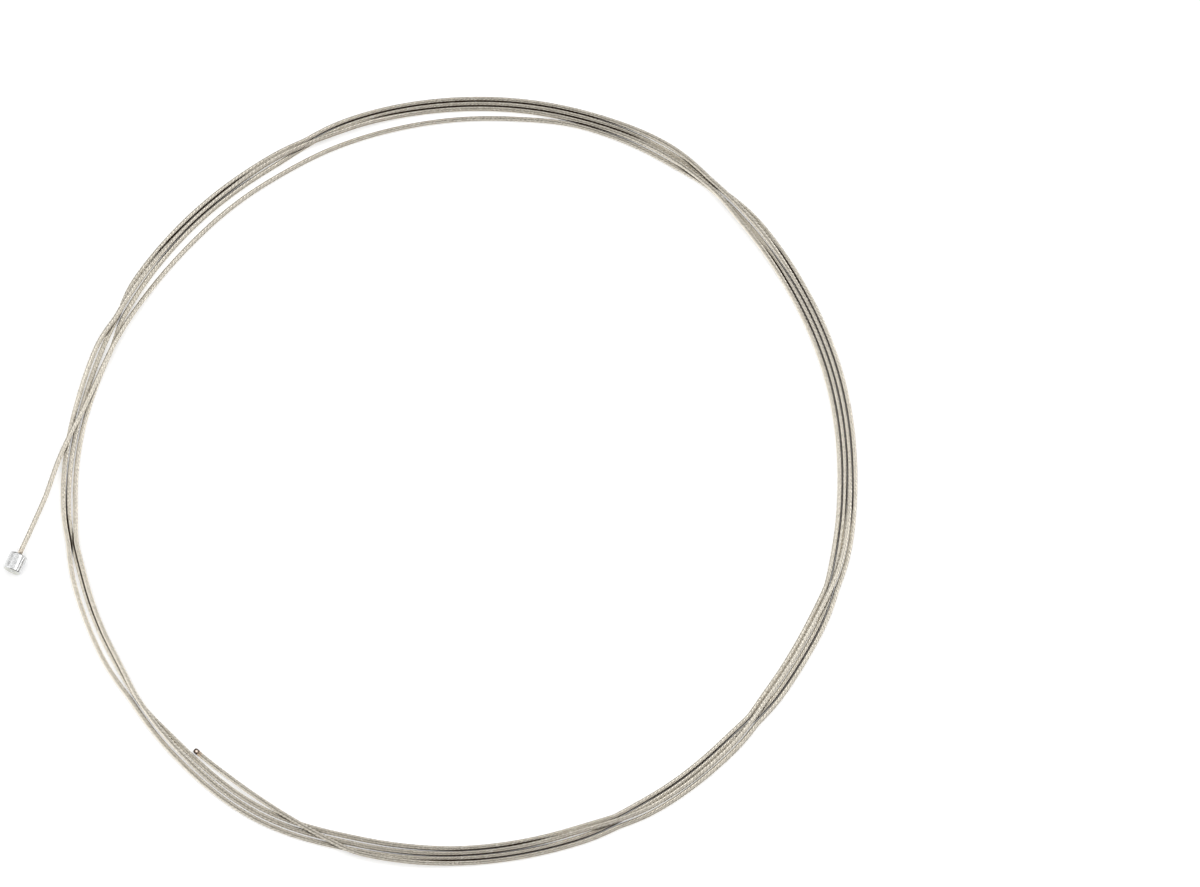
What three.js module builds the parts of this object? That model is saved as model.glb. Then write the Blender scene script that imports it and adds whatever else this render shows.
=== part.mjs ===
// A bicycle shift cable: a stranded steel inner cable with a barrel head fixed on one end, lying flat in
// the loose round coil that it is sold in. Millimetres, +Z up, with the coil lying on z = 0.
// The head is modelled in full. The strand is plain: a rod from the head to the coil, and a ring with
// the outer shape of the wound turns, which hold the rest of the cable and its bare cut end.

import * as THREE from "three";

// Strand
const strandDiameter = 1.2;
const strandSides = 8;
const leadSteps = 6;
const meetGap = 0.3; // left between the strand's solids and what they meet

// Barrel head
const headDiameter = 4.5;
const headLength = 4.5;
const headEdgeRadius = 0.35;
const headSides = 48;
const mouthClearance = 0.4; // between the strand and the mouth that it enters the head by
const mouthDepth = 0.5;
const mouthTaper = 0.15; // how much smaller the mouth's radius is at its bottom
const endDimpleDiameter = 1.7; // the hollow in the far end, where the strand was cut and fixed
const endDimpleDepth = 0.3;
const endDimpleTaper = 0.3;
const arcPoints = 5; // on each rounded edge of a profile

// Coil
const coilRadius = 93; // at the middle of the band of turns
const coilWidth = 12; // over all the turns, which wander in and out within it
const turnsStacked = 2; // strands on top of each other where turns cross
const coilSegments = 96;

// Lead, from the head to the coil: where it meets the coil, as an angle below the leftmost point, and the
// plan points of its route, counted from that meeting place back to the head's shoulder.
const leadMeetDegrees = 2.8;
const leadRoute = [
  [0, 0],
  [-0.98, -2.45],
  [-2, -4.95],
  [-3.03, -7.42],
  [-4.08, -9.88],
  [-5.14, -12.33],
  [-6.22, -14.78],
];

const strandRadius = strandDiameter / 2;
const headRadius = headDiameter / 2;
const coilInnerRadius = coilRadius - coilWidth / 2;
const coilOuterRadius = coilRadius + coilWidth / 2;
const coilHeight = turnsStacked * strandDiameter;
const headAxisHeight = headRadius; // the barrel lies on its side
const leadMeetHeight = strandDiameter + strandRadius; // the lead comes in on top of the outermost turn

const castMetal = new THREE.MeshStandardMaterial({ color: 0xd6d6d4, roughness: 0.42, metalness: 0.9 });
const strandSteel = new THREE.MeshStandardMaterial({ color: 0xc8c4ba, roughness: 0.34, metalness: 1.0 });
const coilSteel = new THREE.MeshStandardMaterial({ color: 0xbdb8ad, roughness: 0.38, metalness: 1.0 });

function namedMesh(name, geometry, material) {
  const mesh = new THREE.Mesh(geometry, material);
  mesh.name = name;
  return mesh;
}

// Points of a rounded corner, a quarter circle about (cx, cy) that starts at startAngle and turns by turn.
function roundedCorner(cx, cy, radius, startAngle, turn) {
  const points = [];
  for (let i = 0; i < arcPoints; i += 1) {
    const angle = startAngle + (turn * i) / (arcPoints - 1);
    points.push(new THREE.Vector2(cx + radius * Math.cos(angle), cy + radius * Math.sin(angle)));
  }
  return points;
}

// The head is turned about its own Y axis, which runs from its far end to the shoulder where the strand
// leaves. The profile goes from the far end's dimple, over the barrel, to the bottom of the mouth.
function makeHead() {
  const halfLength = headLength / 2;
  const edgeCentre = headRadius - headEdgeRadius;
  const edgeInset = halfLength - headEdgeRadius;
  const dimpleRadius = endDimpleDiameter / 2;
  const mouthRadius = strandRadius + mouthClearance;
  const quarter = Math.PI / 2;
  const profile = [
    new THREE.Vector2(0, -halfLength + endDimpleDepth),
    new THREE.Vector2(dimpleRadius - endDimpleTaper, -halfLength + endDimpleDepth),
    new THREE.Vector2(dimpleRadius, -halfLength),
    ...roundedCorner(edgeCentre, -edgeInset, headEdgeRadius, -quarter, quarter),
    ...roundedCorner(edgeCentre, edgeInset, headEdgeRadius, 0, quarter),
    new THREE.Vector2(mouthRadius, halfLength),
    new THREE.Vector2(mouthRadius - mouthTaper, halfLength - mouthDepth),
    new THREE.Vector2(0, halfLength - mouthDepth),
  ];
  return namedMesh("cable_head", new THREE.LatheGeometry(profile, headSides), castMetal);
}

// The lead's centre line, from the head's shoulder to the coil. Its height goes evenly from the head's
// axis down to the top of the outermost turn.
function leadPoints() {
  const reach = coilOuterRadius + meetGap + strandRadius;
  const meetAngle = Math.PI + THREE.MathUtils.degToRad(leadMeetDegrees);
  const meetX = reach * Math.cos(meetAngle);
  const meetY = reach * Math.sin(meetAngle);
  const fromHead = [...leadRoute].reverse();
  return fromHead.map(([dx, dy], i) => {
    const share = i / (fromHead.length - 1);
    const height = THREE.MathUtils.lerp(headAxisHeight, leadMeetHeight, share);
    return new THREE.Vector3(meetX + dx, meetY + dy, height);
  });
}

// The strand reaches into the head's mouth as far as the gap allows.
function makeLead(points, headDirection) {
  const insideMouth = mouthDepth - meetGap;
  const start = points[0].clone().addScaledVector(headDirection, -insideMouth);
  const path = new THREE.CatmullRomCurve3([start, ...points.slice(1)]);
  const section = new THREE.Shape();
  for (let i = 0; i < strandSides; i += 1) {
    const angle = ((i + 0.5) / strandSides) * 2 * Math.PI;
    const x = strandRadius * Math.cos(angle);
    const y = strandRadius * Math.sin(angle);
    if (i === 0) section.moveTo(x, y);
    else section.lineTo(x, y);
  }
  section.closePath();
  const geometry = new THREE.ExtrudeGeometry(section, {
    steps: leadSteps,
    extrudePath: path,
    bevelEnabled: false,
  });
  return namedMesh("cable_lead", geometry, strandSteel);
}

// The outer shape of the wound turns: a flat ring, as high as two strands where they cross, with edges
// as round as the strand. The profile goes round the section and closes on itself.
function makeCoil() {
  const inner = coilInnerRadius + strandRadius;
  const outer = coilOuterRadius - strandRadius;
  const low = strandRadius;
  const high = coilHeight - strandRadius;
  const quarter = Math.PI / 2;
  const profile = [
    ...roundedCorner(outer, low, strandRadius, -quarter, quarter),
    ...roundedCorner(outer, high, strandRadius, 0, quarter),
    ...roundedCorner(inner, high, strandRadius, quarter, quarter),
    ...roundedCorner(inner, low, strandRadius, 2 * quarter, quarter),
  ];
  profile.push(profile[0].clone());
  const mesh = namedMesh("cable_coil", new THREE.LatheGeometry(profile, coilSegments), coilSteel);
  mesh.rotation.x = Math.PI / 2; // the ring's own axis is Y
  return mesh;
}

// Lays the head on its side at the lead's end, with its shoulder facing the strand.
function placeHead(head, shoulder, headDirection) {
  const up = new THREE.Vector3(0, 0, 1);
  const across = new THREE.Vector3().crossVectors(headDirection, up);
  head.setRotationFromMatrix(new THREE.Matrix4().makeBasis(across, headDirection, up));
  head.position.copy(shoulder).addScaledVector(headDirection, -headLength / 2);
}

function makeCable() {
  const points = leadPoints();
  const headDirection = points[1].clone().sub(points[0]).setZ(0).normalize();
  const head = makeHead();
  placeHead(head, points[0], headDirection);
  const cable = new THREE.Group();
  cable.add(head, makeLead(points, headDirection), makeCoil());

  // The origin is under the middle of the whole cable's box, on the surface that it lies on.
  const box = new THREE.Box3().setFromObject(cable, true);
  const middle = box.getCenter(new THREE.Vector3());
  cable.position.set(-middle.x, -middle.y, -box.min.z);
  return cable;
}

const shiftCable = new THREE.Group();
shiftCable.add(makeCable());

export default shiftCable;
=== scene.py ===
import math

import bpy
import numpy as np
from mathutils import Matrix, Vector


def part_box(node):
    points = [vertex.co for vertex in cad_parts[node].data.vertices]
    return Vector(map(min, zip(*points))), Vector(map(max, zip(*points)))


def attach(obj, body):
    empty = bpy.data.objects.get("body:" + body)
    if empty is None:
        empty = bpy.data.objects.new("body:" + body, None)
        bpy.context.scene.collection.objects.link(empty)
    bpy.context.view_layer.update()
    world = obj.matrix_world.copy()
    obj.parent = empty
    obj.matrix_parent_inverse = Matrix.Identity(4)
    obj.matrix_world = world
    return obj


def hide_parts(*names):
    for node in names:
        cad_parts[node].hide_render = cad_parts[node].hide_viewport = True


# A bicycle shift cable: a stranded steel inner cable with a cast barrel head, lying in its loose coil.
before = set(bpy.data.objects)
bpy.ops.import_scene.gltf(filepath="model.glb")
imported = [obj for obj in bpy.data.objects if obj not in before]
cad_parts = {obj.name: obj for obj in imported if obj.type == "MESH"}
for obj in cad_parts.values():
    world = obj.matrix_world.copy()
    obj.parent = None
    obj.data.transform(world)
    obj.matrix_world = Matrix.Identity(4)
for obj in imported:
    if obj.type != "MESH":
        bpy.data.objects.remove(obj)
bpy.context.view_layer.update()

MM = 0.001
UP = Vector((0, 0, 1))

# Camera: sensor and lens in millimetres, the rest in metres
SENSOR_WIDTH = 36
LENS = 298
ELEVATION_DEGREES = 75
CAMERA_DISTANCE = 2.4
CAMERA_AIM = Vector((0.0392, 0.0084, 0.001))

# Strand, in millimetres: twelve outer wires laid left-handed round seven inner ones
STRAND = 1.2
WIRES = 12
WIRE_RADIUS = 0.124
LAY_LENGTH = 12.4
CABLE_LENGTH = 2300.0
RING_POINTS = 36
RING_STEP = 0.84
CREVICE_REACH = 0.6  # how far from the turn beside it the painted shade between turns starts on a wire

# Coil, in millimetres about its centre. A place is in degrees clockwise from the leftmost point, and goes
# on from turn to turn. The turns lie in four lanes side by side, and swap lanes by crossing each other.
TURNS = 4
COIL_RADIUS = 93.0
PLACE_STEP = 0.25
BAND_STEP = 15.0
BAND_MIDDLE = [
    93.8, 92.4, 91.6, 91.15, 91.25, 92.6, 93.55, 94.7, 95.65, 95.2, 94.3, 93.9,
    93.55, 93.75, 92.8, 92.75, 93.2, 93.0, 93.55, 94.8, 96.9, 96.3, 95.05, 94.6,
]
LANE_SPACING = 1.22
# The lane of a turn, in spacings out from the middle, by how far it has wound round the middle in degrees
LANES = [
    (0, 1.1), (22.5, 1.5), (45, 0.6), (67.5, 0.5), (90, 0), (112.5, -0.5), (135, -0.6), (157.5, -1.5),
    (180, -1.1),
]
# How far the first turn has wound round the middle of the band by each place, both in degrees. The lanes
# are at 22.5 and every 45 after it, and two or four turns cross halfway between.
TWIST = [
    (18, 112.5), (34, 157.5), (58, 157.5), (74, 202.5), (118, 202.5), (142, 247.5),
    (188, 247.5), (206, 292.5), (213, 292.5), (228, 247.5), (238, 247.5), (254, 292.5),
    (312, 292.5), (336, 337.5), (342, 337.5), (358, 382.5),
]
TWIST_A_TURN = 270
# Where a turn leaves its lane a little, in spacings out, because the lane beside it is empty. These places
# count on from the cable's start.
SHIFTS = [
    (630, 0), (650, -0.5), (668, -0.5), (684, 0), (702, 0.4), (726, -0.2), (734, -0.2), (750, 0), (990, 0),
    (1010, -0.25), (1028, -0.25), (1044, 0), (1056, 0.6), (1086, 0.6), (1102, 0.1), (1108, 0),
]
ON_TOP = 2.0  # the side of the band of a turn that passes over all the others
ON_A_TURN = 1.5 * STRAND  # the height of the middle of a turn that lies on another
CROSSING_REACH = 12.0  # how far before a crossing the stiff strand starts to rise
SETTLING_ROUNDS = 20
SETTLED_WITHIN = 1e-4

# Lead, as in the CAD: plan points counted from where it meets the coil back to the head's shoulder
LEAD_MEET_DEGREES = 2.8
MEET_GAP = 0.3
LEAD_ROUTE = [
    (0, 0), (-0.98, -2.45), (-2, -4.95), (-3.03, -7.42), (-4.08, -9.88), (-5.14, -12.33), (-6.22, -14.78),
]

# Where the first turn crosses the others to their inner side, and where the last turn does and ends:
# place and distance from the coil's centre
LEAD_CROSSING = [
    (3, 96.6), (6, 94.9), (11, 92.4), (16, 91.0), (22, 90.1), (32, 88.7), (45, 87.9), (58, 87.9),
    (70, 88.6), (80, 89.3), (90, 90.3), (98, 91.3),
]
LEAD_LANDS = 36
LEAD_JOINS = 108
TAIL_LEAVES = 276
TAIL_CROSSING = [(284, 96.1), (290, 94.8), (296, 93.6), (302, 92.8), (308, 92.4), (314, 92.6), (325, 93)]
TAIL_STOPS = 318  # a little beyond the cut
JOINING_POINTS = 4  # of the band, which join a crossing smoothly to it
JOINING_STEP = 4

# Head, in millimetres
HEAD_DIAMETER = 4.5
HEAD_LENGTH = 4.5
HEAD_EDGE_RADIUS = 0.35
HEAD_SIDES = 180
BARREL_RINGS = 14
CORNER_RINGS = 8
MOUTH_RADIUS = 0.78
MOUTH_DEPTH = 0.2
MOUTH_TAPER = 0.1
PARTING_ANGLE = 50.0  # where the mould's halves met, in degrees up from the head's right
PARTING_WIDTH = 0.15
PARTING_DEPTH = 0.1
PARTING_OFFSET = 0.03  # how far the half to the line's right stands back
NOTCH_PLACE = 1.9  # along the barrel from its middle, where the parting line ends in a notch
NOTCH_LENGTH = 0.45
NOTCH_DEPTH = 0.24
DIMPLE_RADIUS = 0.85
DIMPLE_DEPTH = 0.3
DIMPLE_TAPER = 0.3
NEAR_AXIS = 0.02  # where a turned profile ends

# Cut end, in millimetres: the distance beyond the cut and the radius of its profile
CUT_PROFILE = [
    (-1.15, 0.5), (-1.1, 0.6), (-0.95, 0.63), (-0.6, 0.65), (-0.3, 0.64), (-0.05, 0.6),
    (0.1, 0.52), (0.18, 0.4), (0.2, 0.25), (0.2, NEAR_AXIS),
]
CUT_SIDES = 36
PAINTED_HIGHLIGHT_BACK = 0.55  # the painted highlight's middle, this far back from the cut
PAINTED_HIGHLIGHT_RISE = 0.65  # the painted highlight's middle, this far above the strand's middle

COIL_LOW, COIL_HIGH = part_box("cable_coil")
HEAD_LOW, HEAD_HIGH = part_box("cable_head")
COIL_CENTRE = (COIL_LOW + COIL_HIGH) / 2
COIL_OUTER = (COIL_HIGH.x - COIL_LOW.x) / 2 / MM
HEAD_AXIS_HEIGHT = (HEAD_HIGH.z - HEAD_LOW.z) / 2 / MM

# Materials. A noise is its scale, detail and roughness; tones are its values and their colours; a bump is
# its distance in metres and its strength.
NOISE_RANGE = (0.3, 0.7)  # nearly all of a noise's values
FADE_IN = (0.0, 1.0)
FADE_OUT = (1.0, 0.0)

STEEL_NOISE = (1300, 3, 0.6)
STEEL_TONES = [(0.35, (0.86, 0.8, 0.685)), (0.62, (1.0, 0.94, 0.82))]
STEEL_ROUGHNESS = (0.22, 0.28)
STEEL_BUMP = (0.0002, 0.6)
PAINTED_SHADE_COLOUR = (0.026, 0.015, 0.008)  # painted shade in the grooves between wires and between turns
GROOVE_RANGE = (0.2, 0.46)  # where painted shade fills a groove: from a wire's crown, at 0, towards its edge, at 0.5
CREVICE_RANGE = (0.3, 0.52)  # of the attribute of depth between turns, over which the painted shade between turns sets in
CROWN_CURVE = 0.26  # the square of a little over half a wire's width
HEAD_TINT = (0.92, 0.84, 0.78)  # left by the heat of the casting
HEAD_TINT_LENGTH = 2.0
CUT_TINT = (0.9, 0.56, 0.3)  # left by the heat of the cut
CUT_TINT_LENGTH = 2.4

CAST_NOISE = (3200, 4, 0.65)
CAST_TONES = [(0.38, (0.52, 0.525, 0.53)), (0.6, (0.84, 0.845, 0.84))]
CAST_ROUGHNESS = (0.22, 0.36)
CAST_BUMP = (0.00005, 0.5)
# Painted shade on the head's far end face: darker, plain and slightly yellow
END_SHADE_COLOUR = (0.64, 0.645, 0.585)
END_SHADE_RANGE = (0.00002, 0.0001)  # metres from the head's far end, over which the painted shade fades

BURNT_NOISE = (2500, 3, 0.6)
BURNT_TONES = [(0.35, (0.02, 0.015, 0.012)), (0.7, (0.12, 0.07, 0.045))]
BURNT_METALLIC = 0.8
BURNT_ROUGHNESS = 0.35
BURNT_BUMP = (0.00008, 0.6)
# A painted highlight: a bright spot on the fused tip
PAINTED_HIGHLIGHT_COLOUR = (0.95, 0.79, 0.68)
PAINTED_HIGHLIGHT_RANGE = (0.00022, 0.00042)  # metres from the painted highlight's middle

# Surroundings, in metres and watts
FLOOR_HALF = 6.0
FLOOR_COLOUR = (0.8, 0.8, 0.8)
FLOOR_ROUGHNESS = 0.9
FLOOR_GLOW = 0.35  # seen by the camera and in reflections only
WORLD_LIGHT = 0.25
WORLD_GLOW = 0.75  # seen by the camera and in reflections only
WHITE = (1.0, 1.0, 1.0)
# Name, place, size, power, and whether it shows in reflections
SOFTBOXES = [
    ("light_left", (-1.1, 0.0, 0.8), (1.4, 1.4), 3.6, True),
    ("light_right", (0.8, 0.0, 1.1), (0.8, 0.4), 2.4, True),
    ("light_top", (0.0, 0.1, 1.2), (2.0, 2.0), 16.5, False),
]
# Name, middle of its foot, how far the foot reaches from there, and height
DARK_CARDS = [
    ("card_front", (0.0, -0.9), (1.3, 0.0), 1.2),
    ("card_back", (0.0, 0.9), (1.3, 0.0), 0.9),
    ("card_right", (0.9, 0.0), (0.0, 0.9), 0.35),
]
CARD_COLOUR = (0.04, 0.03, 0.02)


def link(obj):
    bpy.context.scene.collection.objects.link(obj)
    return obj


def make_camera():
    camera = link(bpy.data.objects.new("camera", bpy.data.cameras.new("camera")))
    camera.data.sensor_width = SENSOR_WIDTH
    camera.data.lens = LENS
    elevation = math.radians(ELEVATION_DEGREES)
    back = Vector((0, -math.cos(elevation), math.sin(elevation)))
    camera.location = CAMERA_AIM + back * CAMERA_DISTANCE
    camera.rotation_mode = "QUATERNION"
    camera.rotation_quaternion = (-back).to_track_quat("-Z", "Y")
    bpy.context.scene.camera = camera


# Route of the strand


def cubic(share, step, start, end, start_slope, end_slope):
    """A cubic curve from start to end with the slopes given there, at a share of the step between them."""
    first = (1 + 2 * share) * (1 - share) ** 2 * start + share * (1 - share) ** 2 * step * start_slope
    second = share**2 * (3 - 2 * share) * end + share**2 * (share - 1) * step * end_slope
    return first + second


def curve_through(places, values):
    """A smooth curve through the values that doesn't swing past them."""
    x = np.asarray(places, float)
    y = np.asarray(values, float)
    step = np.diff(x)
    slope = np.diff(y) / step
    tangent = np.zeros(len(x))
    both = slope[1:] * slope[:-1]
    never_zero = slope[1:] + slope[:-1] + 1e-12
    tangent[1:-1] = np.where(both > 0, 2 * both / never_zero, 0)
    tangent[0] = slope[0]
    tangent[-1] = slope[-1]

    def at(place):
        i = np.clip(np.searchsorted(x, place) - 1, 0, len(x) - 2)
        share = (place - x[i]) / step[i]
        return cubic(share, step[i], y[i], y[i + 1], tangent[i], tangent[i + 1])

    return at


def round_the_coil(values):
    """A smooth curve through values that stand a band step apart and repeat every turn."""
    count = len(values)
    beyond = 2  # values repeated on each side, so that the slopes agree where the turn closes
    order = np.arange(-beyond, count + beyond + 1)
    x = order * BAND_STEP
    y = np.array(values)[order % count]
    tangent = np.gradient(y, x)

    def at(place):
        local = np.mod(place, 360)
        i = np.floor((local - x[0]) / BAND_STEP).astype(int)
        share = (local - x[i]) / BAND_STEP
        return cubic(share, BAND_STEP, y[i], y[i + 1], tangent[i], tangent[i + 1])

    return at


def band_at(place):
    """A turn's distance from the coil's centre, and which side of the band it is on: 1 top, -1 bottom."""
    keys = [
        (at + 360 * turn, degrees + TWIST_A_TURN * turn)
        for turn in range(-1, TURNS + 1)
        for at, degrees in TWIST
    ]
    twist = curve_through(*zip(*keys))(place)
    from_edge = 180 - np.abs(np.mod(twist, 360) - 180)
    shift = curve_through(*zip(*SHIFTS))(np.clip(place, SHIFTS[0][0], SHIFTS[-1][0]))
    lane = curve_through(*zip(*LANES))(from_edge) + shift
    radius = round_the_coil(BAND_MIDDLE)(place) + LANE_SPACING * lane
    return radius, np.sin(np.radians(twist))


def band_keys(places):
    """Points of the band that a crossing is joined to."""
    places = np.asarray(places, float)
    return list(zip(places, band_at(places)[0]))


def lead_keys():
    """Place and distance from the coil's centre of the lead's points, from the head's shoulder on."""
    reach = COIL_OUTER + MEET_GAP + STRAND / 2
    angle = math.pi + math.radians(LEAD_MEET_DEGREES)
    meet = np.array([math.cos(angle), math.sin(angle)]) * reach
    points = [meet + step for step in np.array(LEAD_ROUTE[::-1])]
    return [(-(180 + math.degrees(math.atan2(y, x))), math.hypot(x, y)) for x, y in points]


def strand_route():
    """Place, distance from the coil's centre, and side of the band of each point, from the head on."""
    lead = lead_keys()
    last_turn = 360 * (TURNS - 1)
    place = np.arange(lead[0][0], last_turn + TAIL_STOPS, PLACE_STEP)
    radius, side = band_at(place)

    joins = [LEAD_JOINS + JOINING_STEP * k for k in range(JOINING_POINTS)]
    path = curve_through(*zip(*lead, *LEAD_CROSSING, *band_keys(joins)))
    crossing = place < LEAD_JOINS + JOINING_STEP
    radius[crossing] = path(place[crossing])
    side[place < LEAD_LANDS] = ON_TOP

    leaves = [last_turn + TAIL_LEAVES - JOINING_STEP * k for k in reversed(range(JOINING_POINTS))]
    tail = [(last_turn + at, distance) for at, distance in TAIL_CROSSING]
    path = curve_through(*zip(*band_keys(leaves), *tail))
    crossing = place > last_turn + TAIL_LEAVES - JOINING_STEP
    radius[crossing] = path(place[crossing])
    side[place > last_turn + TAIL_LEAVES] = ON_TOP
    return place, radius, side


def crossings(radius):
    """The points that lie beside or over each other a number of turns apart, in pairs, and how far apart
    in height the two must be."""
    a_turn = int(round(360 / PLACE_STEP))
    pairs = []
    for turn in range(1, TURNS):
        first = np.arange(len(radius) - turn * a_turn)
        second = first + turn * a_turn
        gap = np.abs(radius[first] - radius[second])
        near = gap < STRAND
        lift = np.sqrt(STRAND**2 - gap[near] ** 2)
        pairs.append((first[near], second[near], lift))
    return pairs


def widened(need, reach):
    """The heights needed, with each rise started a reach of points early, ended as late, and smoothed."""
    window = np.hanning(2 * reach + 3)[1:-1]
    window /= window.sum()
    padded = np.pad(need, reach, mode="edge")
    widest = np.lib.stride_tricks.sliding_window_view(padded, 2 * reach + 1).max(1)
    return np.convolve(np.pad(widest, reach, mode="edge"), window, mode="valid")


def rest_heights(place, radius, side):
    """The height of each point of the strand's middle, with each turn lying on those beneath it."""
    floor = np.full(len(place), STRAND / 2)
    lead = place < -LEAD_MEET_DEGREES
    ends = [place[0], -LEAD_MEET_DEGREES]
    floor[lead] = np.interp(place[lead], ends, [HEAD_AXIS_HEIGHT, ON_A_TURN])
    pairs = crossings(radius)
    reach = int(round(CROSSING_REACH / (math.radians(PLACE_STEP) * COIL_RADIUS)))
    height = floor
    for _ in range(SETTLING_ROUNDS):
        need = floor.copy()
        for first, second, lift in pairs:
            over = side[first] >= side[second]
            np.maximum.at(need, first[over], (height[second] + lift)[over])
            np.maximum.at(need, second[~over], (height[first] + lift)[~over])
        before = height
        height = widened(need, reach)
        if np.abs(height - before).max() < SETTLED_WITHIN:
            break
    return height


def strand_centreline():
    """Points of the strand's middle in the row frame, in metres, a ring step apart, from the head to the
    cut, and the place of each."""
    place, radius, side = strand_route()
    height = rest_heights(place, radius, side)
    angle = np.radians(180 - place)
    points = np.stack([radius * np.cos(angle), radius * np.sin(angle), height], 1)
    along = np.concatenate([[0], np.cumsum(np.linalg.norm(np.diff(points, axis=0), axis=1))])
    count = int(round(CABLE_LENGTH / RING_STEP))
    stations = np.linspace(0, CABLE_LENGTH, count + 1)
    line = np.stack([np.interp(stations, along, points[:, k]) for k in range(3)], 1)
    return line * MM + np.array([COIL_CENTRE.x, COIL_CENTRE.y, 0]), np.interp(stations, along, place)


def frames_along(line):
    """Unit tangent, sideways and upward directions at each point of a nearly level line."""
    tangent = np.gradient(line, axis=0)
    tangent /= np.linalg.norm(tangent, axis=1)[:, None]
    sideways = np.cross(np.array(UP), tangent)
    sideways /= np.linalg.norm(sideways, axis=1)[:, None]
    upward = np.cross(tangent, sideways)
    return tangent, sideways, upward


# Meshes


def mesh_object(name, vertices, faces, uvs=None, smooth=True):
    mesh = bpy.data.meshes.new(name)
    mesh.from_pydata([tuple(v) for v in vertices], [], [tuple(f) for f in faces])
    if uvs is not None:
        layer = mesh.uv_layers.new(name="along")
        layer.data.foreach_set("uv", np.asarray(uvs, np.float32).ravel())
    mesh.polygons.foreach_set("use_smooth", [smooth] * len(mesh.polygons))
    mesh.validate()
    mesh.update()
    return link(bpy.data.objects.new(name, mesh))


def wire_profile(points):
    """Angle of each point of a ring, and its radius: a groove and the crown of a wire by turns."""
    ring = STRAND / 2 - WIRE_RADIUS
    angle = np.arange(points) / points * 2 * math.pi
    pitch = 2 * math.pi / WIRES
    off_wire = np.mod(angle, pitch) - pitch / 2
    inside = WIRE_RADIUS**2 - (ring * np.sin(off_wire)) ** 2
    return angle, ring * np.cos(off_wire) + np.sqrt(np.maximum(inside, 0))


def tube_faces(rings, points):
    """Quads between rings of points."""
    ring, point = np.meshgrid(np.arange(rings - 1), np.arange(points), indexing="ij")
    after = (point + 1) % points
    this = ring * points
    next_ring = (ring + 1) * points
    corners = [this + point, this + after, next_ring + after, next_ring + point]
    return np.stack(corners, -1).reshape(-1, 4)


def strand_uvs(along):
    """Corners of the strand's quads: shares of the way round a ring, and along the cable."""
    ring, point = np.meshgrid(np.arange(len(along) - 1), np.arange(RING_POINTS), indexing="ij")
    ring = ring.ravel()
    left = point.ravel() / RING_POINTS
    right = (point.ravel() + 1) / RING_POINTS
    start = along[ring] / CABLE_LENGTH
    end = along[ring + 1] / CABLE_LENGTH
    corners = [(left, start), (right, start), (right, end), (left, end)]
    return np.stack([np.stack(corner, 1) for corner in corners], 1).reshape(-1, 2)


def crevices(points, line, place):
    """How deep each point of the strand's surface lies between turns, 0 in the open and 1 where they touch:
    the mask of the painted shade between turns.
    """
    gap = np.full(points.shape[:2], np.inf)
    for turn in range(-TURNS, TURNS + 1):
        at = place + 360 * turn
        there = (at > place[0]) & (at < place[-1])
        if turn == 0 or not there.any():
            continue
        beside = np.stack([np.interp(at[there], place, line[:, k]) for k in range(3)], 1)
        away = np.linalg.norm(points[there] - beside[:, None, :], axis=2) / MM - STRAND / 2
        gap[there] = np.minimum(gap[there], away)
    return np.clip(1 - gap / CREVICE_REACH, 0, 1)


def make_strand(line, place):
    """The twisted wires as one tube with a lobe for each outer wire, whose rings turn with the lay."""
    _, sideways, upward = frames_along(line)
    rings = len(line)
    angle, outline = wire_profile(RING_POINTS)
    along = np.arange(rings) * (CABLE_LENGTH / (rings - 1))
    turned = angle[None, :] - 2 * math.pi * along[:, None] / LAY_LENGTH
    across = (outline * np.cos(turned))[:, :, None] * sideways[:, None, :]
    rise = (outline * np.sin(turned))[:, :, None] * upward[:, None, :]
    points = line[:, None, :] + (across + rise) * MM
    first_cap = list(range(RING_POINTS))[::-1]
    last_cap = [(rings - 1) * RING_POINTS + k for k in range(RING_POINTS)]
    faces = [*tube_faces(rings, RING_POINTS).tolist(), first_cap, last_cap]
    uvs = np.concatenate([strand_uvs(along), np.zeros((len(first_cap) + len(last_cap), 2))])
    strand = mesh_object("strand", points.reshape(-1, 3), faces, uvs)
    # The mask of the painted shade between turns
    layer = strand.data.attributes.new("crevice_shade", "FLOAT", "POINT")
    layer.data.foreach_set("value", crevices(points, line, place).astype(np.float32).ravel())
    return strand


def turned_mesh(name, profile, sides, origin, axis, displace=None):
    """A profile of (distance along, radius) in millimetres, turned about an axis through origin."""
    axis = Vector(axis).normalized()
    across = axis.cross(UP).normalized()
    upward = across.cross(axis).normalized()
    vertices = []
    for along, radius in profile:
        for k in range(sides):
            angle = 2 * math.pi * k / sides
            distance = radius + (displace(along, radius, angle) if displace else 0)
            out = across * math.cos(angle) + upward * math.sin(angle)
            vertices.append(origin + (axis * along + out * distance) * MM)
    quads = tube_faces(len(profile), sides).tolist()
    last = [(len(profile) - 1) * sides + k for k in range(sides)]
    faces = [f[::-1] for f in quads] + [list(range(sides)), last[::-1]]
    return mesh_object(name, vertices, faces)


def rounded_corner(along, radius, size, start):
    """Profile points of a quarter circle about (along, radius)."""
    return [
        (along - size * math.cos(start + a), radius + size * math.sin(start + a))
        for a in np.linspace(0, math.pi / 2, CORNER_RINGS)
    ]


def parting_line(along, radius, angle):
    """How far the barrel's side stands out: a fine groove along it ends in a notch, and the half to the
    groove's right stands back a little."""
    if radius < HEAD_DIAMETER / 2 - HEAD_EDGE_RADIUS:
        return 0
    at = math.radians(PARTING_ANGLE)
    off = (angle - at + math.pi) % (2 * math.pi) - math.pi
    notch = math.exp(-(((along - NOTCH_PLACE) / NOTCH_LENGTH) ** 2))
    width = PARTING_WIDTH * (1 + notch)
    groove = math.exp(-((off * radius / width) ** 2)) * (PARTING_DEPTH + NOTCH_DEPTH * notch)
    back = PARTING_OFFSET if -math.pi / 2 < off < 0 else 0
    return -groove - back


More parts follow.
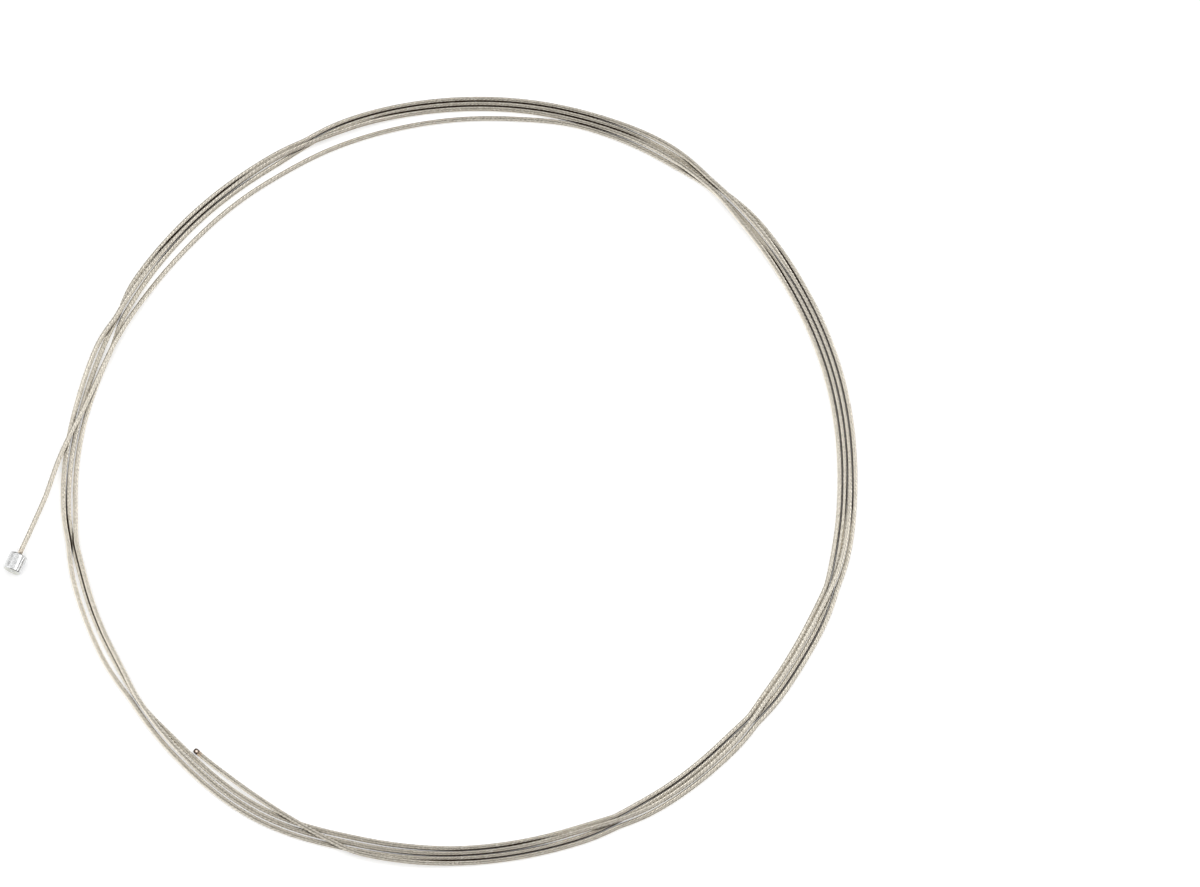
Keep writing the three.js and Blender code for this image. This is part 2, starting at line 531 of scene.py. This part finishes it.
def make_head(shoulder, direction):
    half = HEAD_LENGTH / 2
    radius = HEAD_DIAMETER / 2
    inset = half - HEAD_EDGE_RADIUS
    edge = radius - HEAD_EDGE_RADIUS
    profile = [
        (-half + DIMPLE_DEPTH, NEAR_AXIS),
        (-half + DIMPLE_DEPTH, DIMPLE_RADIUS - DIMPLE_TAPER),
        (-half, DIMPLE_RADIUS),
        *rounded_corner(-inset, edge, HEAD_EDGE_RADIUS, 0),
        *[(x, radius) for x in np.linspace(-inset, inset, BARREL_RINGS)[1:-1]],
        *rounded_corner(inset, edge, HEAD_EDGE_RADIUS, math.pi / 2),
        (half, MOUTH_RADIUS),
        (half - MOUTH_DEPTH, MOUTH_RADIUS - MOUTH_TAPER),
        (half - MOUTH_DEPTH, NEAR_AXIS),
    ]
    centre = shoulder - direction * (half * MM)
    return turned_mesh("barrel_head", profile, HEAD_SIDES, centre, direction, parting_line)


def make_cut_end(line):
    """The fused tip of the strand, and the middle of the painted highlight on it."""
    tangent, _, _ = frames_along(line)
    direction = Vector(tangent[-1])
    origin = Vector(line[-1])
    highlight_middle = origin - direction * (PAINTED_HIGHLIGHT_BACK * MM) + UP * (PAINTED_HIGHLIGHT_RISE * MM)
    return turned_mesh("cut_end", CUT_PROFILE, CUT_SIDES, origin, direction), highlight_middle


# Materials


class Nodes:
    """Short forms for building one material's node tree."""

    def __init__(self, name):
        self.material = bpy.data.materials.new(name)
        self.material.use_nodes = True
        self.tree = self.material.node_tree
        self.shader = self.tree.nodes["Principled BSDF"]

    def add(self, kind, **settings):
        node = self.tree.nodes.new(kind)
        for key, value in settings.items():
            setattr(node, key, value)
        return node

    def put(self, value, target):
        """Links a socket to the target, or sets the target to a value."""
        if isinstance(value, bpy.types.NodeSocket):
            self.tree.links.new(value, target)
        else:
            target.default_value = value

    def shade(self, **values):
        """Sets or links the shader's sockets, whose names have underscores here for spaces."""
        for key, value in values.items():
            self.put(value, self.shader.inputs[key.replace("_", " ")])

    def math(self, operation, first, second=None):
        node = self.add("ShaderNodeMath", operation=operation)
        self.put(first, node.inputs[0])
        if second is not None:
            self.put(second, node.inputs[1])
        return node.outputs[0]

    def vector_math(self, operation, first, second):
        node = self.add("ShaderNodeVectorMath", operation=operation)
        self.put(first, node.inputs[0])
        self.put(second, node.inputs[1])
        return node.outputs

    def place(self):
        return self.add("ShaderNodeTexCoord").outputs["Object"]

    def noise(self, scale, detail, roughness):
        node = self.add("ShaderNodeTexNoise")
        node.inputs["Scale"].default_value = scale
        node.inputs["Detail"].default_value = detail
        node.inputs["Roughness"].default_value = roughness
        self.put(self.place(), node.inputs["Vector"])
        return node.outputs["Fac"]

    def ramp(self, fac, first, last):
        node = self.add("ShaderNodeValToRGB")
        self.put(fac, node.inputs["Fac"])
        for element, (position, colour) in zip(node.color_ramp.elements, (first, last)):
            element.position = position
            element.color = (*colour, 1)
        return node.outputs["Color"]

    def mix(self, colour, other, factor, blend="MIX"):
        node = self.add("ShaderNodeMix", data_type="RGBA", blend_type=blend)
        self.put(factor, node.inputs["Factor"])
        self.put(colour, node.inputs["A"])
        self.put((*other, 1), node.inputs["B"])
        return node.outputs["Result"]

    def map_range(self, value, source, target):
        node = self.add("ShaderNodeMapRange")
        self.put(value, node.inputs["Value"])
        names = ("From Min", "From Max", "To Min", "To Max")
        for name, number in zip(names, (*source, *target)):
            node.inputs[name].default_value = number
        return node.outputs["Result"]

    def bump(self, height, distance, strength):
        node = self.add("ShaderNodeBump")
        node.inputs["Distance"].default_value = distance
        node.inputs["Strength"].default_value = strength
        self.put(height, node.inputs["Height"])
        self.shade(Normal=node.outputs["Normal"])


def strand_steel():
    """Drawn steel wires: bright crowns, painted shade in the grooves between them and between the turns,
    and slight changes of tone.
    """
    n = Nodes("strand_steel")
    uv = n.add("ShaderNodeUVMap", uv_map="along")
    split = n.add("ShaderNodeSeparateXYZ")
    n.put(uv.outputs["UV"], split.inputs["Vector"])
    wire = n.math("FRACT", n.math("MULTIPLY", split.outputs["X"], WIRES))
    off_crown = n.math("ABSOLUTE", n.math("SUBTRACT", wire, 0.5))
    along = n.math("MULTIPLY", split.outputs["Y"], CABLE_LENGTH)

    tone = n.noise(*STEEL_NOISE)
    bright = n.ramp(tone, *STEEL_TONES)
    near_head = n.map_range(along, (0.0, HEAD_TINT_LENGTH), FADE_OUT)
    bright = n.mix(bright, HEAD_TINT, near_head, "MULTIPLY")
    near_cut = n.map_range(along, (CABLE_LENGTH - CUT_TINT_LENGTH, CABLE_LENGTH), FADE_IN)
    bright = n.mix(bright, CUT_TINT, near_cut, "MULTIPLY")

    # Painted shade: the grooves between wires and the crevices between turns take a near black colour, and
    # the crevices stop reflecting like metal
    groove = n.map_range(off_crown, GROOVE_RANGE, FADE_IN)
    crevice_shade = n.add("ShaderNodeAttribute", attribute_name="crevice_shade").outputs["Fac"]
    between = n.map_range(crevice_shade, CREVICE_RANGE, FADE_IN)
    n.shade(
        Base_Color=n.mix(bright, PAINTED_SHADE_COLOUR, n.math("MAXIMUM", groove, between)),
        Metallic=n.math("SUBTRACT", 1.0, between),
        Specular_IOR_Level=0.0,
        Roughness=n.map_range(tone, NOISE_RANGE, STEEL_ROUGHNESS),
    )
    crown = n.math("SQRT", n.math("SUBTRACT", CROWN_CURVE, n.math("MULTIPLY", off_crown, off_crown)))
    n.bump(crown, *STEEL_BUMP)
    return n.material


def cast_metal(end, direction):
    """Bright mottled casting, plainer, and with a darker, slightly yellow painted shade, on its far end."""
    n = Nodes("cast_metal")
    mottle = n.noise(*CAST_NOISE)
    from_end = n.vector_math("SUBTRACT", n.place(), end)["Vector"]
    along = n.vector_math("DOT_PRODUCT", from_end, direction)["Value"]
    # Painted shade on the far end face
    on_end_shade = n.map_range(along, END_SHADE_RANGE, FADE_OUT)
    n.shade(
        Base_Color=n.mix(n.ramp(mottle, *CAST_TONES), END_SHADE_COLOUR, on_end_shade),
        Metallic=1.0,
        Roughness=n.map_range(mottle, NOISE_RANGE, CAST_ROUGHNESS),
    )
    n.bump(mottle, *CAST_BUMP)
    return n.material


def burnt_metal(highlight_middle):
    """Metal blackened by the cut, with a painted highlight about the given point."""
    n = Nodes("burnt_metal")
    mottle = n.noise(*BURNT_NOISE)
    away = n.vector_math("DISTANCE", n.place(), highlight_middle)["Value"]
    # The painted highlight on the fused tip
    on_highlight = n.map_range(away, PAINTED_HIGHLIGHT_RANGE, FADE_OUT)
    n.shade(
        Base_Color=n.mix(n.ramp(mottle, *BURNT_TONES), PAINTED_HIGHLIGHT_COLOUR, on_highlight),
        Metallic=BURNT_METALLIC,
        Roughness=BURNT_ROUGHNESS,
    )
    n.bump(mottle, *BURNT_BUMP)
    return n.material


# Surroundings


def shown_rays(tree):
    """1 for rays from the camera and in reflections, 0 for those that light the object."""
    shown = tree.nodes.new("ShaderNodeLightPath").outputs
    result = shown["Is Camera Ray"]
    for name in ("Is Glossy Ray", "Is Transmission Ray"):
        either = tree.nodes.new("ShaderNodeMath")
        either.operation = "MAXIMUM"
        tree.links.new(result, either.inputs[0])
        tree.links.new(shown[name], either.inputs[1])
        result = either.outputs[0]
    return result


def make_floor():
    corners = [
        (-FLOOR_HALF, -FLOOR_HALF, 0),
        (FLOOR_HALF, -FLOOR_HALF, 0),
        (FLOOR_HALF, FLOOR_HALF, 0),
        (-FLOOR_HALF, FLOOR_HALF, 0),
    ]
    floor = mesh_object("floor", corners, [(0, 1, 2, 3)], smooth=False)
    n = Nodes("pale_floor")
    n.shade(
        Base_Color=(*FLOOR_COLOUR, 1),
        Roughness=FLOOR_ROUGHNESS,
        Specular_IOR_Level=0.0,
        Emission_Color=(*WHITE, 1),
        Emission_Strength=n.math("MULTIPLY", shown_rays(n.tree), FLOOR_GLOW),
    )
    floor.data.materials.append(n.material)


def make_world():
    world = bpy.data.worlds.new("studio")
    bpy.context.scene.world = world
    world.use_nodes = True
    tree = world.node_tree
    background = tree.nodes["Background"]
    background.inputs["Color"].default_value = (*WHITE, 1)
    strength = tree.nodes.new("ShaderNodeMath")
    strength.operation = "MULTIPLY_ADD"
    tree.links.new(shown_rays(tree), strength.inputs[0])
    strength.inputs[1].default_value = WORLD_GLOW
    strength.inputs[2].default_value = WORLD_LIGHT
    tree.links.new(strength.outputs[0], background.inputs["Strength"])


def make_dark_card(name, middle, half, high):
    """A dark card on the table, seen only in reflections: it gives bright metal its dark edges."""
    x, y = middle
    dx, dy = half
    corners = [(x - dx, y - dy, 0), (x + dx, y + dy, 0), (x + dx, y + dy, high), (x - dx, y - dy, high)]
    card = mesh_object(name, corners, [(0, 1, 2, 3)], smooth=False)
    n = Nodes(name)
    n.shade(Base_Color=(*CARD_COLOUR, 1), Roughness=1.0)
    card.data.materials.append(n.material)
    card.visible_camera = False
    card.visible_diffuse = False
    card.visible_shadow = False


def make_softbox(name, place, size, power, mirrored):
    light = bpy.data.lights.new(name, "AREA")
    light.shape = "RECTANGLE"
    light.size, light.size_y = size
    light.energy = power
    lamp = link(bpy.data.objects.new(name, light))
    lamp.location = place
    lamp.visible_glossy = mirrored
    lamp.rotation_mode = "QUATERNION"
    lamp.rotation_quaternion = (-Vector(place)).to_track_quat("-Z", "Y")


def make_surroundings():
    make_floor()
    make_world()
    for softbox in SOFTBOXES:
        make_softbox(*softbox)
    for card in DARK_CARDS:
        make_dark_card(*card)


def build():
    make_camera()
    line, place = strand_centreline()
    strand = make_strand(line, place)
    cut_end, highlight_middle = make_cut_end(line)
    shoulder = Vector(line[0])
    first_step = line[1] - line[0]
    direction = Vector((first_step[0], first_step[1], 0)).normalized()
    head = make_head(shoulder, direction)

    strand.data.materials.append(strand_steel())
    cut_end.data.materials.append(burnt_metal(highlight_middle))
    head.data.materials.append(cast_metal(shoulder - direction * (HEAD_LENGTH * MM), direction))

    for piece in (strand, cut_end, head):
        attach(piece, "root")
    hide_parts("cable_lead", "cable_coil")
    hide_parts("cable_head")

    make_surroundings()
    bpy.context.scene.view_settings.view_transform = "Standard"


build()
